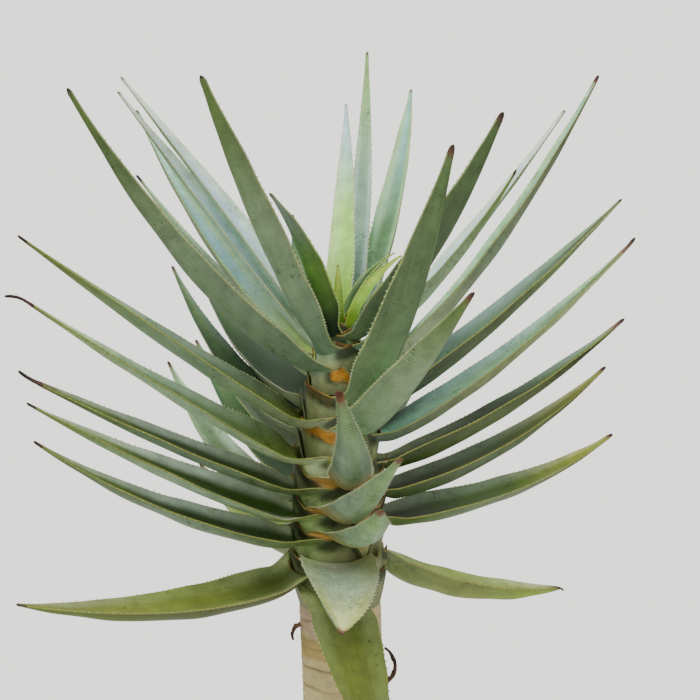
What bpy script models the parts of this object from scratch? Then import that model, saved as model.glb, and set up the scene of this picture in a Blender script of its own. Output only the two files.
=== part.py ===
# Young tree aloe: one bare stem with a flared, flat cut base and a crown of fleshy,
# channelled leaves. Metres, +Z up, the stem stands on the origin.
# Seen from the front (-Y), left leaves point to -X and back leaves to +Y.
import math

import bpy
from mathutils import Matrix, Vector

STEM_TOP = 0.730
LEAN = 0.0060
LEAN_HEIGHT = 0.500
STEM_SIDES = 36
GAP = 0.0004
FOOT_SHARE = 0.66
FOOT_OF_STEM = 0.60
FOOT_RUN = 0.22
ROLL_RUN = 0.12
TIP_HALF_WIDTH = 0.0010
CHANNEL_DEPTH = 0.36
KEEL_DEPTH = 0.34
STEPS = 60
STATIONS = (0.0, 0.05, 0.117, 0.2, 0.3, 0.4, 0.5, 0.6, 0.7, 0.8, 0.9, 1.0)

# Height and radius of the stem, from its top down to the cut.
STEM_PROFILE = (
    (0.730, 0.0040),
    (0.722, 0.0090),
    (0.710, 0.0138),
    (0.692, 0.0190),
    (0.670, 0.0232),
    (0.640, 0.0275),
    (0.600, 0.0312),
    (0.550, 0.0338),
    (0.490, 0.0362),
    (0.400, 0.0355),
    (0.320, 0.0376),
    (0.220, 0.0412),
    (0.120, 0.0468),
    (0.050, 0.0532),
    (0.015, 0.0600),
    (0.000, 0.0660),
)

for old in list(bpy.data.objects):
    bpy.data.objects.remove(old, do_unlink=True)

parts = bpy.data.collections.new("tree_aloe")
bpy.context.scene.collection.children.link(parts)


def material(name, colour, roughness):
    made = bpy.data.materials.new(name)
    made.use_nodes = True
    shader = made.node_tree.nodes["Principled BSDF"]
    shader.inputs["Base Color"].default_value = (*colour, 1.0)
    shader.inputs["Roughness"].default_value = roughness
    shader.inputs["Metallic"].default_value = 0.0
    return made


bark = material("bark", (0.56, 0.45, 0.28), 0.8)
old_leaf = material("old_leaf", (0.20, 0.25, 0.07), 0.5)
grey_leaf = material("grey_leaf", (0.26, 0.33, 0.24), 0.55)
pale_leaf = material("pale_leaf", (0.45, 0.56, 0.52), 0.55)
young_leaf = material("young_leaf", (0.25, 0.40, 0.08), 0.45)
dry_leaf = material("dry_leaf", (0.09, 0.04, 0.02), 0.75)

root = bpy.data.objects.new("tree_root", None)
parts.objects.link(root)


def stem_axis(height):
    # The bare stem bows a little to +X between the cut and the crown.
    share = min(max(height / LEAN_HEIGHT, 0.0), 1.0)
    return LEAN * 4.0 * share * (1.0 - share)


def stem_radius(height):
    above = STEM_PROFILE[0]
    for below in STEM_PROFILE[1:]:
        if height >= below[0]:
            share = (height - below[0]) / (above[0] - below[0])
            return below[1] + (above[1] - below[1]) * min(share, 1.0)
        above = below
    return STEM_PROFILE[-1][1]


def place(mesh, name, location, turn, look):
    mesh.materials.append(look)
    mesh.shade_smooth()
    mesh.set_sharp_from_angle(angle=math.radians(50))
    made = bpy.data.objects.new(name, mesh)
    made.location = location
    made.rotation_euler = (0.0, 0.0, turn)
    made.parent = root
    parts.objects.link(made)
    return made


def stem():
    # A profile on +X from top to cut, turned by a Screw modifier, then bowed.
    points = [(0.0, 0.0, STEM_TOP)]
    points += [(radius, 0.0, height) for height, radius in STEM_PROFILE]
    points += [(0.0, 0.0, 0.0)]
    edges = [(i, i + 1) for i in range(len(points) - 1)]
    outline = bpy.data.meshes.new("stem_outline")
    outline.from_pydata(points, edges, [])
    turned = bpy.data.objects.new("stem_outline", outline)
    parts.objects.link(turned)
    screw = turned.modifiers.new("Screw", "SCREW")
    screw.steps = STEM_SIDES
    screw.render_steps = STEM_SIDES
    screw.use_merge_vertices = True
    screw.merge_threshold = 0.0001
    bpy.context.view_layer.update()
    shape = turned.evaluated_get(bpy.context.evaluated_depsgraph_get())
    mesh = bpy.data.meshes.new_from_object(shape)
    bpy.data.objects.remove(turned, do_unlink=True)
    for vertex in mesh.vertices:
        vertex.co.x += stem_axis(vertex.co.z)
    mesh.name = "trunk"
    return place(mesh, "trunk", (0.0, 0.0, 0.0), 0.0, bark)


def centreline(length, rise_foot, rise_tip, bend, sweep):
    # Points and (rise, heading) angles along a leaf whose foot is at the origin.
    step = length / STEPS
    here = Vector((0.0, 0.0, 0.0))
    line = []
    for i in range(STEPS + 1):
        along = i / STEPS
        rise = math.radians(rise_foot + (rise_tip - rise_foot) * along ** bend)
        heading = math.radians(sweep) * along ** 1.5
        line.append((here.copy(), rise, heading))
        middle = (i + 0.5) / STEPS
        rise = math.radians(rise_foot + (rise_tip - rise_foot) * middle ** bend)
        heading = math.radians(sweep) * middle ** 1.5
        flat = math.cos(rise) * step
        here += Vector((flat * math.cos(heading), flat * math.sin(heading), math.sin(rise) * step))
    return line


def section(half, along):
    # Sideways and upward offsets of a channelled, keeled section with thin margins.
    lift = CHANNEL_DEPTH * half
    keel = KEEL_DEPTH * half * (1.0 + 0.5 * along)
    flank = CHANNEL_DEPTH * lift - 0.75 * keel
    return (
        (-half, lift),
        (-0.5 * half, 0.25 * lift),
        (0.0, 0.0),
        (0.5 * half, 0.25 * lift),
        (half, lift),
        (0.58 * half, flank),
        (0.0, -keel),
        (-0.58 * half, flank),
    )


def ease(share):
    share = min(share, 1.0)
    return share * share * (3.0 - 2.0 * share)


def leaf(name, height, azimuth, length, rise_foot, rise_tip, width, look,
         bend=0.6, fullness=1.6, sweep=0.0, roll=0.0, twist=0.0, turn=0.0):
    # Sizes in millimetres and degrees; height and azimuth give the foot on the stem.
    # The blade is rolled about its own length, and twist is added to that by the tip.
    height = height / 1000.0
    length = length / 1000.0
    half_width = width / 2000.0
    radius = stem_radius(height)
    azimuth = math.radians(azimuth)
    facing = azimuth + math.radians(turn)
    axis = Vector((stem_axis(height), 0.0, 0.0))
    foot = axis + Vector((radius * math.cos(azimuth), radius * math.sin(azimuth), height))
    spin = Matrix.Rotation(facing, 3, "Z")
    line = centreline(length, rise_foot, rise_tip, bend, sweep)
    foot_share = min(FOOT_SHARE, FOOT_OF_STEM * radius / half_width)
    rings = []
    for along in STATIONS:
        centre, rise, heading = line[round(along * STEPS)]
        if along == 0.0:
            rise = max(min(rise, math.radians(25)), math.radians(-25))
        share = foot_share + (1.0 - foot_share) * ease(along / FOOT_RUN)
        half = max(half_width * (1.0 - along ** fullness) * share, TIP_HALF_WIDTH)
        forward = Vector((math.cos(rise) * math.cos(heading),
                          math.cos(rise) * math.sin(heading), math.sin(rise)))
        side = Vector((-math.sin(heading), math.cos(heading), 0.0))
        face = forward.cross(side)
        tilt = math.radians(roll + twist * along) * ease(along / ROLL_RUN)
        across = side * math.cos(tilt) + face * math.sin(tilt)
        upward = face * math.cos(tilt) - side * math.sin(tilt)
        ring = []
        for out, up in section(half, along):
            point = centre + across * out + upward * up
            if along == 0.0:
                # The foot lies on the round stem, a hair off it.
                real = spin @ point + foot
                off = Vector((real.x - stem_axis(real.z), real.y, 0.0))
                off *= (stem_radius(real.z) + GAP + 0.0005) / off.length
                real = Vector((off.x + stem_axis(real.z), off.y, real.z))
                point = spin.transposed() @ (real - foot)
            ring.append(point)
        rings.append(ring)
    points = [point for ring in rings for point in ring]
    count = len(rings[0])
    faces = []
    for row in range(len(rings) - 1):
        for k in range(count):
            a = row * count + k
            b = row * count + (k + 1) % count
            faces.append((a, a + count, b + count, b))
    last = (len(rings) - 1) * count
    for first, up in ((0, True), (last, False)):
        strips = ((0, 1, 7), (1, 2, 6, 7), (2, 3, 5, 6), (3, 4, 5))
        for strip in strips:
            corner = [first + k for k in strip]
            faces.append(corner if up else corner[::-1])
    mesh = bpy.data.meshes.new(name)
    mesh.from_pydata(points, [], faces)
    return place(mesh, name, foot, facing, look)


stem()

# Left rank, from the lowest leaf up.
leaf("leaf_left_1", 508.5, 213, 258, -20.5, 17.5, 50, old_leaf, bend=0.58, fullness=2.3, sweep=-1,
     roll=-12, twist=6)
leaf("leaf_left_2", 535, 209, 260, 12.5, 37, 47, old_leaf, bend=0.9, fullness=1.5, sweep=2,
     roll=-15, twist=-5)
leaf("leaf_left_3", 556, 209.5, 269, 17, 32, 46, old_leaf, bend=0.55, sweep=3, roll=-31, twist=19)
leaf("leaf_left_4", 578, 211, 277, 19, 29.5, 39, old_leaf, bend=0.45, fullness=1.7, roll=-21)
leaf("leaf_left_5", 604, 210.5, 301, 21, 35.5, 47, grey_leaf, bend=0.3, fullness=1.1, roll=-32,
     twist=22)
leaf("leaf_left_6", 635, 210.5, 299, 23.5, 37, 44, grey_leaf, bend=0.25, fullness=1.7, sweep=-3,
     roll=-26, twist=19)
leaf("leaf_left_7", 684, 210, 318, 17, 59, 47, grey_leaf, bend=0.41, fullness=1.55, sweep=2, roll=3,
     twist=8)
leaf("leaf_left_8", 698, 228.5, 265, 54.5, 60.5, 39, grey_leaf, bend=0.8, fullness=2.9, sweep=4,
     roll=-18, twist=12)

# Right rank.
leaf("leaf_right_1", 516, 24, 210, -36, 0, 56, old_leaf, bend=0.75, fullness=2.75)
leaf("leaf_right_2", 545.5, 23, 262, 4, 28, 50, old_leaf, bend=1.64, fullness=1.7, sweep=4.5,
     roll=8, twist=2)
leaf("leaf_right_3", 569.5, 21, 264, 4, 36, 49, old_leaf, bend=0.7, sweep=7, roll=-2, twist=3)
leaf("leaf_right_4", 594.5, 18.5, 281, 8.5, 35.5, 47, grey_leaf, bend=0.53, fullness=1.75,
     sweep=4.5, roll=-10, twist=6)
leaf("leaf_right_5", 619.5, 12, 299, 12, 45, 49, grey_leaf, bend=0.38, fullness=1.3, sweep=-2,
     roll=6, twist=-1)
leaf("leaf_right_6", 647, 10.5, 291, 21, 45, 54, pale_leaf, bend=0.35, fullness=1.45, sweep=-2.5,
     roll=-2, twist=13)
leaf("leaf_right_7", 673, 4.5, 332, 22, 62.5, 36, pale_leaf, bend=0.33, fullness=2, sweep=2,
     roll=-8, twist=17)
leaf("leaf_right_8", 690.5, 28.5, 310, 32.5, 49.5, 30, pale_leaf, bend=0.35, fullness=1.8, roll=-4,
     twist=4)
leaf("leaf_right_9", 699.5, 353, 205, 34, 60, 34, grey_leaf, bend=0.7, fullness=1.65)

# Front rank.
leaf("leaf_front_1", 493, 262, 171, -36, -56.5, 59, old_leaf, bend=0.65, fullness=2.2, sweep=15,
     twist=-11, turn=27)
leaf("leaf_front_2", 522, 267, 166, 6, -8.5, 63, pale_leaf, bend=0.8, fullness=3.1, sweep=-5,
     roll=4, twist=-22, turn=7)
leaf("leaf_front_3", 547, 281.5, 175, 6.5, 31.5, 48, grey_leaf, bend=0.85, fullness=1.8, sweep=-12,
     roll=10, twist=-13, turn=2)
leaf("leaf_front_4", 564, 278, 214, 10.5, 35, 50, grey_leaf, bend=0.8, sweep=14, roll=5, twist=-4,
     turn=-1)
leaf("leaf_front_5", 589, 281.5, 244, 12.5, 40, 37, grey_leaf, bend=0.8, fullness=1.9, sweep=-15,
     roll=-3, turn=-7)
leaf("leaf_front_6", 631, 308, 191, 35.5, 47, 54, grey_leaf, fullness=1.7, sweep=5, roll=4,
     twist=-11, turn=-2)
leaf("leaf_front_7", 654, 311, 241, 39, 73.5, 49, grey_leaf, bend=0.3, fullness=2.1, sweep=2,
     roll=-2, twist=-6, turn=6.5)
leaf("leaf_front_8", 709, 331, 234, 35, 64.5, 44, grey_leaf, bend=0.52, fullness=2.15, sweep=-2,
     roll=-6, twist=-8, turn=1)

# Back rank.
leaf("leaf_back_1", 512, 120, 270, -14, 20, 52, old_leaf, fullness=2.2)
leaf("leaf_back_2", 541, 128, 290, -10, 46, 54, grey_leaf, fullness=1.7)
leaf("leaf_back_3", 568, 122, 280, -2, 40, 50, grey_leaf)
leaf("leaf_back_4", 596, 124, 285, 6, 40, 50, grey_leaf)
leaf("leaf_back_5", 622, 129, 285, -4, 50, 48, pale_leaf, fullness=1.4)
leaf("leaf_back_6", 650, 126, 254, 6, 50, 54, pale_leaf, bend=1)
leaf("leaf_back_7", 674, 140.5, 285, 16.5, 45, 37, grey_leaf, bend=0.3, fullness=1.1, sweep=6,
     roll=2, twist=-3)
leaf("leaf_back_8", 662, 104, 230, 20, 54, 46, pale_leaf, fullness=1.5)
leaf("leaf_back_9", 690, 145, 310, 26, 58, 46, pale_leaf, fullness=1.4)
leaf("leaf_back_10", 698, 151, 315, 46, 47, 42, pale_leaf, bend=0.8, fullness=1.4)
leaf("leaf_back_11", 706, 152, 315, 50, 46, 42, pale_leaf, bend=0.8, fullness=1.4)
leaf("leaf_back_12", 610, 62, 200, 8, 40, 46, grey_leaf)
leaf("leaf_back_13", 642, 68, 215, 16, 44, 46, grey_leaf)

# Young centre.
leaf("leaf_centre_1", 706, 76, 287, 45, 81.5, 27, pale_leaf, bend=0.75, fullness=1.9, sweep=10,
     roll=-7, twist=-5)
leaf("leaf_centre_2", 718, 82.5, 219, 67, 61.5, 31, young_leaf, bend=0.8, fullness=1.8, sweep=11,
     roll=-30, twist=6)
leaf("leaf_centre_3", 699, 60.5, 268, 38, 66, 35, pale_leaf, bend=0.28, fullness=2.55, sweep=17.5,
     roll=-25, twist=14, turn=-3)
leaf("leaf_centre_4", 712, 235, 146, 73.5, 41.5, 28, young_leaf, bend=1.1, fullness=2.2, sweep=-6,
     roll=-3)
leaf("leaf_centre_5", 724, 270, 60, 54, 64, 10, young_leaf, bend=1, fullness=2)
leaf("leaf_centre_6", 726, 27, 77, 77, 27, 14, young_leaf, bend=0.8, fullness=2.1, twist=3)
leaf("leaf_centre_7", 719, 353, 78, 75.5, 35.5, 18, young_leaf, bend=0.95, fullness=2.2, sweep=-4,
     roll=-12, twist=-21)

# Dried scraps of old leaf bases that cling to the bare stem.
leaf("dry_scrap_right", 404, 352, 42, 5, 150, 12, dry_leaf, bend=0.8, fullness=2)
leaf("dry_scrap_left", 458, 190, 18, 0, -110, 8, dry_leaf, bend=0.8, fullness=2)
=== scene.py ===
import math
from types import SimpleNamespace

import bpy
import numpy as np
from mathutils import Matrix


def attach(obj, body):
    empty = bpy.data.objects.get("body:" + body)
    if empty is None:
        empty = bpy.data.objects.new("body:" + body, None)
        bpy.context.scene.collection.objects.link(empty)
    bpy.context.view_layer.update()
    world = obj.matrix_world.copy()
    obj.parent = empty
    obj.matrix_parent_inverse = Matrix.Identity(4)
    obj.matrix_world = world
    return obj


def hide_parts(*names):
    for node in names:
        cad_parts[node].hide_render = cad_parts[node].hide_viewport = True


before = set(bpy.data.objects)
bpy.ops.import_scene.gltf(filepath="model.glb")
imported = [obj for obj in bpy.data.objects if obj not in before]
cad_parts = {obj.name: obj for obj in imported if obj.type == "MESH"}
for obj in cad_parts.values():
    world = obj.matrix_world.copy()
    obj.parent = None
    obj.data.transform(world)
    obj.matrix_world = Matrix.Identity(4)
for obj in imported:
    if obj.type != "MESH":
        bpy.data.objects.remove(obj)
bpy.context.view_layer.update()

# A young tree aloe: one bare stem, and fleshy channelled leaves that clasp it.
# Metres and +Z up. Azimuth 0 is +X, 270 faces the camera. Leaf sizes are in millimetres.


def linear(hexColour):
    # sRGB hex to the linear values that shaders use
    parts = [int(hexColour[i:i + 2], 16) / 255 for i in (1, 3, 5)]
    return np.array([c / 12.92 if c <= 0.04045 else ((c + 0.055) / 1.055) ** 2.4 for c in parts])


def addNode(tree, kind, settings=None, links=None):
    # one node with its settings; links maps an input to a value or to another node's output
    node = tree.nodes.new(kind)
    for key, value in (settings or {}).items():
        setattr(node, key, value)
    for key, value in (links or {}).items():
        if isinstance(value, bpy.types.NodeSocket):
            tree.links.new(value, node.inputs[key])
        else:
            node.inputs[key].default_value = value
    return node


def newMaterial(name):
    made = bpy.data.materials.new(name)
    made.use_nodes = True
    return made, made.node_tree, made.node_tree.nodes["Principled BSDF"]


def settle(piece, node):
    # a piece stands for a node: it joins the scene under the root, and the node's own part is hidden
    bpy.context.scene.collection.objects.link(piece)
    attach(piece, "root")
    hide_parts(node)


def smooth(t):
    t = np.clip(t, 0.0, 1.0)
    return t * t * (3.0 - 2.0 * t)


# Materials

noiseSpan = {"From Min": 0.3, "From Max": 0.7}     # the middle stretch of a noise, which holds most of it

cuticle = {
    "roughness": 0.46,       # wax bloom over a firm skin
    "bloomPatch": 0.014,     # metres across a patch of worn bloom
    "bloomDepth": 0.21,
    "ribPitch": 0.0016,      # metres between the faint lengthwise ribs
    "ribChange": 22.0,       # how often a rib changes in a metre of leaf
    "ribDepth": 0.09,
    "bumpHeight": 0.00022,
    "speckPitch": 0.0042,    # metres between dark specks
    "speckSpan": (0.85, 0.93),
    "speckDepth": 0.5,
    "speckHue": "#6f8161",   # what a speck leaves of the skin's colour
    "wornPatches": 28.0,     # patches with more specks and dashes, in a metre
    "dashLong": 0.0042,      # metres, the short dark dashes that lie across a scuffed leaf
    "dashWide": 0.0013,
    "dashSpan": (0.86, 0.97),
    "dashHue": "#7c956f",
    "scuffsYoung": 0.4,      # depth of the dashes on most leaves, and on the older front ones
    "scuffsOld": 0.85,
}


def makeCuticle(name, scuffs):
    # Aloe leaf skin under wax bloom: satin, cloudy where the bloom is rubbed, faintly ribbed, with
    # small dark specks and, on an older leaf, scuffs that lie across it. The hue of each place comes
    # from the mesh's tint.
    made, tree, shader = newMaterial(name)
    tint = addNode(tree, "ShaderNodeAttribute", {"attribute_name": "tint"})
    grain = addNode(tree, "ShaderNodeAttribute", {"attribute_name": "grain"})
    place = addNode(tree, "ShaderNodeTexCoord")
    cloud = addNode(tree, "ShaderNodeTexNoise", None, {
        "Vector": place.outputs["Object"], "Scale": 1.0 / cuticle["bloomPatch"], "Detail": 4.0,
        "Roughness": 0.6})
    cloudShade = addNode(tree, "ShaderNodeMapRange", None, {
        "Value": cloud.outputs["Fac"], **noiseSpan,
        "To Min": 1.0 - cuticle["bloomDepth"], "To Max": 1.0 + cuticle["bloomDepth"]})
    stretched = addNode(tree, "ShaderNodeVectorMath", {"operation": "MULTIPLY"}, {
        0: grain.outputs["Vector"], 1: (1.0 / cuticle["ribPitch"], cuticle["ribChange"], 0.0)})
    ribs = addNode(tree, "ShaderNodeTexNoise", None, {
        "Vector": stretched.outputs["Vector"], "Scale": 1.0, "Detail": 2.0, "Roughness": 0.5})
    ribShade = addNode(tree, "ShaderNodeMapRange", None, {
        "Value": ribs.outputs["Fac"], **noiseSpan,
        "To Min": 1.0 - cuticle["ribDepth"], "To Max": 1.0 + cuticle["ribDepth"]})
    shade = addNode(tree, "ShaderNodeMath", {"operation": "MULTIPLY"}, {
        0: cloudShade.outputs["Result"], 1: ribShade.outputs["Result"]})
    shaded = addNode(tree, "ShaderNodeVectorMath", {"operation": "SCALE"}, {
        0: tint.outputs["Color"], "Scale": shade.outputs["Value"]})
    specks = addNode(tree, "ShaderNodeTexNoise", None, {
        "Vector": place.outputs["Object"], "Scale": 1.0 / cuticle["speckPitch"], "Detail": 1.5,
        "Roughness": 0.5})
    patches = addNode(tree, "ShaderNodeTexNoise", None, {
        "Vector": place.outputs["Object"], "Scale": cuticle["wornPatches"], "Detail": 1.0})
    both = addNode(tree, "ShaderNodeMath", {"operation": "MULTIPLY_ADD"}, {
        0: patches.outputs["Fac"], 1: 0.35, 2: specks.outputs["Fac"]})
    speckMask = addNode(tree, "ShaderNodeMapRange", None, {
        "Value": both.outputs["Value"], "From Min": cuticle["speckSpan"][0],
        "From Max": cuticle["speckSpan"][1], "To Min": 0.0, "To Max": cuticle["speckDepth"]})
    coloured = addNode(tree, "ShaderNodeMix", {"data_type": "RGBA", "blend_type": "MULTIPLY"}, {
        0: speckMask.outputs["Result"], 6: shaded.outputs["Vector"], 7: (*linear(cuticle["speckHue"]), 1.0)})
    crossed = addNode(tree, "ShaderNodeVectorMath", {"operation": "MULTIPLY"}, {
        0: grain.outputs["Vector"], 1: (1.0 / cuticle["dashLong"], 1.0 / cuticle["dashWide"], 0.0)})
    dashes = addNode(tree, "ShaderNodeTexNoise", None, {
        "Vector": crossed.outputs["Vector"], "Scale": 1.0, "Detail": 2.0, "Roughness": 0.55})
    worn = addNode(tree, "ShaderNodeMath", {"operation": "MULTIPLY_ADD"}, {
        0: patches.outputs["Fac"], 1: 0.5, 2: dashes.outputs["Fac"]})
    dashMask = addNode(tree, "ShaderNodeMapRange", None, {
        "Value": worn.outputs["Value"], "From Min": cuticle["dashSpan"][0],
        "From Max": cuticle["dashSpan"][1], "To Min": 0.0, "To Max": scuffs})
    scuffed = addNode(tree, "ShaderNodeMix", {"data_type": "RGBA", "blend_type": "MULTIPLY"}, {
        0: dashMask.outputs["Result"], 6: coloured.outputs[2], 7: (*linear(cuticle["dashHue"]), 1.0)})
    tree.links.new(scuffed.outputs[2], shader.inputs["Base Color"])
    gloss = addNode(tree, "ShaderNodeMapRange", None, {
        "Value": cloud.outputs["Fac"], **noiseSpan,
        "To Min": cuticle["roughness"] - 0.07, "To Max": cuticle["roughness"] + 0.1})
    tree.links.new(gloss.outputs["Result"], shader.inputs["Roughness"])
    bump = addNode(tree, "ShaderNodeBump", None, {
        "Height": ribs.outputs["Fac"], "Distance": cuticle["bumpHeight"], "Strength": 0.7})
    tree.links.new(bump.outputs["Normal"], shader.inputs["Normal"])
    return made


horn = {"roughness": 0.38, "patch": 0.004}


def makeHorn():
    # Horny margin and teeth: smooth, harder and paler than the leaf, with little wear.
    made, tree, shader = newMaterial("horny_margin")
    tint = addNode(tree, "ShaderNodeAttribute", {"attribute_name": "tint"})
    place = addNode(tree, "ShaderNodeTexCoord")
    patch = addNode(tree, "ShaderNodeTexNoise", None, {
        "Vector": place.outputs["Object"], "Scale": 1.0 / horn["patch"], "Detail": 2.0})
    level = addNode(tree, "ShaderNodeMapRange", None, {
        "Value": patch.outputs["Fac"], **noiseSpan, "To Min": 0.82, "To Max": 1.15})
    shaded = addNode(tree, "ShaderNodeVectorMath", {"operation": "SCALE"}, {
        0: tint.outputs["Color"], "Scale": level.outputs["Result"]})
    tree.links.new(shaded.outputs["Vector"], shader.inputs["Base Color"])
    shader.inputs["Roughness"].default_value = horn["roughness"]
    return made


husk = {"roughness": 0.78, "streak": 0.0012, "streakChange": 160.0, "bumpHeight": 0.0005}


def makeHusk():
    # Dried leaf tissue, as at shrivelled tips and papery sheath edges: dull, streaked lengthwise,
    # wrinkled.
    made, tree, shader = newMaterial("dried_leaf_tissue")
    tint = addNode(tree, "ShaderNodeAttribute", {"attribute_name": "tint"})
    grain = addNode(tree, "ShaderNodeAttribute", {"attribute_name": "grain"})
    stretched = addNode(tree, "ShaderNodeVectorMath", {"operation": "MULTIPLY"}, {
        0: grain.outputs["Vector"], 1: (1.0 / husk["streak"], husk["streakChange"], 0.0)})
    streaks = addNode(tree, "ShaderNodeTexNoise", None, {
        "Vector": stretched.outputs["Vector"], "Scale": 1.0, "Detail": 3.0, "Roughness": 0.6})
    level = addNode(tree, "ShaderNodeMapRange", None, {
        "Value": streaks.outputs["Fac"], **noiseSpan, "To Min": 0.6, "To Max": 1.3})
    shaded = addNode(tree, "ShaderNodeVectorMath", {"operation": "SCALE"}, {
        0: tint.outputs["Color"], "Scale": level.outputs["Result"]})
    tree.links.new(shaded.outputs["Vector"], shader.inputs["Base Color"])
    shader.inputs["Roughness"].default_value = husk["roughness"]
    bump = addNode(tree, "ShaderNodeBump", None, {
        "Height": streaks.outputs["Fac"], "Distance": husk["bumpHeight"], "Strength": 0.8})
    tree.links.new(bump.outputs["Normal"], shader.inputs["Normal"])
    return made


bark = {"roughness": 0.72, "fibre": 0.0011, "fibreChange": 70.0, "blotch": 0.02, "bumpHeight": 0.0006}


def makeBark():
    # Smooth young bark with papery skin: dull, warm cream, finely cracked round the stem.
    made, tree, shader = newMaterial("papery_young_bark")
    tint = addNode(tree, "ShaderNodeAttribute", {"attribute_name": "tint"})
    place = addNode(tree, "ShaderNodeTexCoord")
    flattened = addNode(tree, "ShaderNodeVectorMath", {"operation": "MULTIPLY"}, {
        0: place.outputs["Object"], 1: (bark["fibreChange"], bark["fibreChange"], 1.0 / bark["fibre"])})
    fibres = addNode(tree, "ShaderNodeTexNoise", None, {
        "Vector": flattened.outputs["Vector"], "Scale": 1.0, "Detail": 3.0, "Roughness": 0.6})
    fibreShade = addNode(tree, "ShaderNodeMapRange", None, {
        "Value": fibres.outputs["Fac"], **noiseSpan, "To Min": 0.84, "To Max": 1.1})
    blotches = addNode(tree, "ShaderNodeTexNoise", None, {
        "Vector": place.outputs["Object"], "Scale": 1.0 / bark["blotch"], "Detail": 5.0,
        "Roughness": 0.65})
    blotchShade = addNode(tree, "ShaderNodeMapRange", None, {
        "Value": blotches.outputs["Fac"], **noiseSpan, "To Min": 0.8, "To Max": 1.14})
    shade = addNode(tree, "ShaderNodeMath", {"operation": "MULTIPLY"}, {
        0: fibreShade.outputs["Result"], 1: blotchShade.outputs["Result"]})
    shaded = addNode(tree, "ShaderNodeVectorMath", {"operation": "SCALE"}, {
        0: tint.outputs["Color"], "Scale": shade.outputs["Value"]})
    tree.links.new(shaded.outputs["Vector"], shader.inputs["Base Color"])
    shader.inputs["Roughness"].default_value = bark["roughness"]
    bump = addNode(tree, "ShaderNodeBump", None, {
        "Height": fibres.outputs["Fac"], "Distance": bark["bumpHeight"], "Strength": 0.8})
    tree.links.new(bump.outputs["Normal"], shader.inputs["Normal"])
    return made


leafSkin = makeCuticle("waxy_leaf_skin", cuticle["scuffsYoung"])
scuffedSkin = makeCuticle("scuffed_leaf_skin", cuticle["scuffsOld"])   # older front leaves, rubbed
hornyMargin = makeHorn()
driedTissue = makeHusk()
paperyBark = makeBark()
print("materials made")

# Stem, with the solid's own profile: height and radius from the top down to the cut.

stem = {
    "profile": (
        (0.730, 0.0040), (0.722, 0.0090), (0.710, 0.0138), (0.692, 0.0190), (0.670, 0.0232),
        (0.640, 0.0275), (0.600, 0.0312), (0.550, 0.0338), (0.490, 0.0362), (0.400, 0.0355),
        (0.320, 0.0376), (0.220, 0.0412), (0.120, 0.0468), (0.050, 0.0532), (0.015, 0.0600),
        (0.000, 0.0660)),
    "bow": 0.006,            # the bare stem bows this far to +X
    "bowHeight": 0.5,
    "crownFoot": 0.47,       # leaf sheaths cover the stem above this
    "thinner": 0.0035,       # and take this much of its radius
    "sides": 144,
    "rows": 420,
    "upperRows": 60,         # of those, the ones inside the crown
    "ringPitch": (0.009, 0.026),
    "ringDepth": 0.0007,
    "lobes": ((3, 0.0022), (5, 0.0012), (7, 0.0007)),    # waves round the flare, and their depth
    "dents": 60,
    "flakes": 46,
    "flakeThick": 0.0006,
}


def stemAxis(height):
    share = np.clip(np.asarray(height) / stem["bowHeight"], 0.0, 1.0)
    return stem["bow"] * 4.0 * share * (1.0 - share)


profileUp = stem["profile"][::-1]
profileHeights = np.array([p[0] for p in profileUp])
profileRadii = np.array([p[1] for p in profileUp])


def stemRadius(height):
    return np.interp(height, profileHeights, profileRadii)


# How each kind of leaf is coloured: its own colour together with painted light and shade. Each line
# gives the colour at the foot, the middle and near the tip. inner is the floor of the channel, darker
# with painted shade, flank its sides, paler with bloom and painted light, outer the back of the leaf.

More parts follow.
